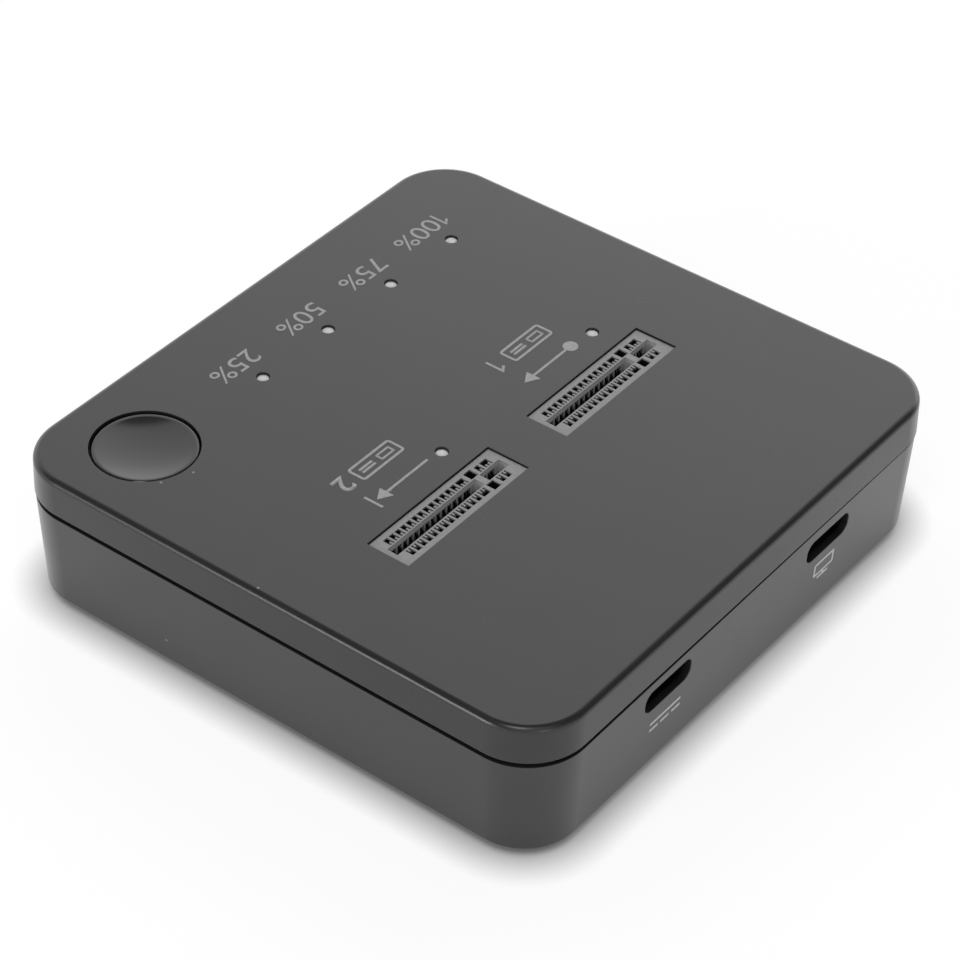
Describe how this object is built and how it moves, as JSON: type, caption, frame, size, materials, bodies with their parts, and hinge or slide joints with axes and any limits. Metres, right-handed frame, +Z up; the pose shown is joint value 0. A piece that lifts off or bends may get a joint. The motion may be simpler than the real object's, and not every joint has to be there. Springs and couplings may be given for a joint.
{
  "type": "drive duplicator",
  "caption": "Stand-alone drive duplicator: square plastic case with upright M.2 sockets on top, progress lamps, a start button and USB-C ports.",
  "frame": {"origin": "middle of the footprint, on the plane that the rubber feet stand on", "axes": "+Z up; +Y towards the wall with the USB-C ports; the user sits at -Y; +X towards the start button's side"},
  "size_m": [0.08, 0.077, 0.0198],
  "materials": {
    "case_plastic": "dark grey satin moulded plastic",
    "button_plastic": "dark grey satin moulded plastic",
    "rubber": "matt black rubber",
    "screw_steel": "zinc plated steel",
    "board": "green solder mask on glass-epoxy board",
    "socket_plastic": "light grey glass-filled moulding",
    "contact_metal": "gold plated copper alloy",
    "shell_steel": "drawn stainless steel",
    "black_plastic": "black moulded plastic",
    "clear_plastic": "clear acrylic, slightly milky",
    "lamp": "surface-mounted diode with clear lens",
    "chip": "black moulding compound",
    "ferrite": "grey moulded iron powder",
    "can": "bare aluminium can",
    "tin": "tinned metal",
    "ceramic": "brown ceramic"
  },
  "bodies": {
    "housing": {"top_cover": "case_plastic", "bottom_shell": "case_plastic", "foot_front_left": "rubber", "foot_front_right": "rubber", "foot_rear_left": "rubber", "foot_rear_right": "rubber", "case_screws": "screw_steel", "main_board": "board", "m2_socket_source": "socket_plastic", "m2_socket_target": "socket_plastic", "m2_contacts_source": "contact_metal", "m2_contacts_target": "contact_metal", "usb_c_shell_data": "shell_steel", "usb_c_shell_power": "shell_steel", "usb_c_tongue_data": "black_plastic", "usb_c_tongue_power": "black_plastic", "usb_c_contacts_data": "contact_metal", "usb_c_contacts_power": "contact_metal", "switch_body": "black_plastic", "switch_plate": "shell_steel", "switch_dome": "screw_steel", "switch_terminals": "tin", "progress_light_guide": "clear_plastic", "status_light_guide_source": "clear_plastic", "status_light_guide_target": "clear_plastic", "indicator_lamps": "lamp", "bridge_chip_source": "chip", "bridge_chip_target": "chip", "copy_controller_chip": "chip", "firmware_memory_chip": "chip", "power_inductors": "ferrite", "bulk_capacitor": "can", "timing_crystals": "tin", "ceramic_capacitors": "ceramic"},
    "start_button": {"start_button": "button_plastic"},
    "switch_plunger": {"switch_plunger": "black_plastic"}
  },
  "joints": [
    {"name": "button_press", "type": "slide", "parent": "housing", "child": "start_button", "axis": [0, 0, -1], "range_m": [0, 0.00025], "stiffness_N_per_m": 400, "springref_m": -0.0015},
    {"name": "plunger_press", "type": "slide", "parent": "housing", "child": "switch_plunger", "axis": [0, 0, -1], "range_m": [0, 0.00025], "stiffness_N_per_m": 200, "springref_m": -0.001, "deforming": ["switch_dome"]}
  ],
  "couplings": [
    {"joint": "plunger_press", "follows": "button_press", "ratio": 1}
  ]
}
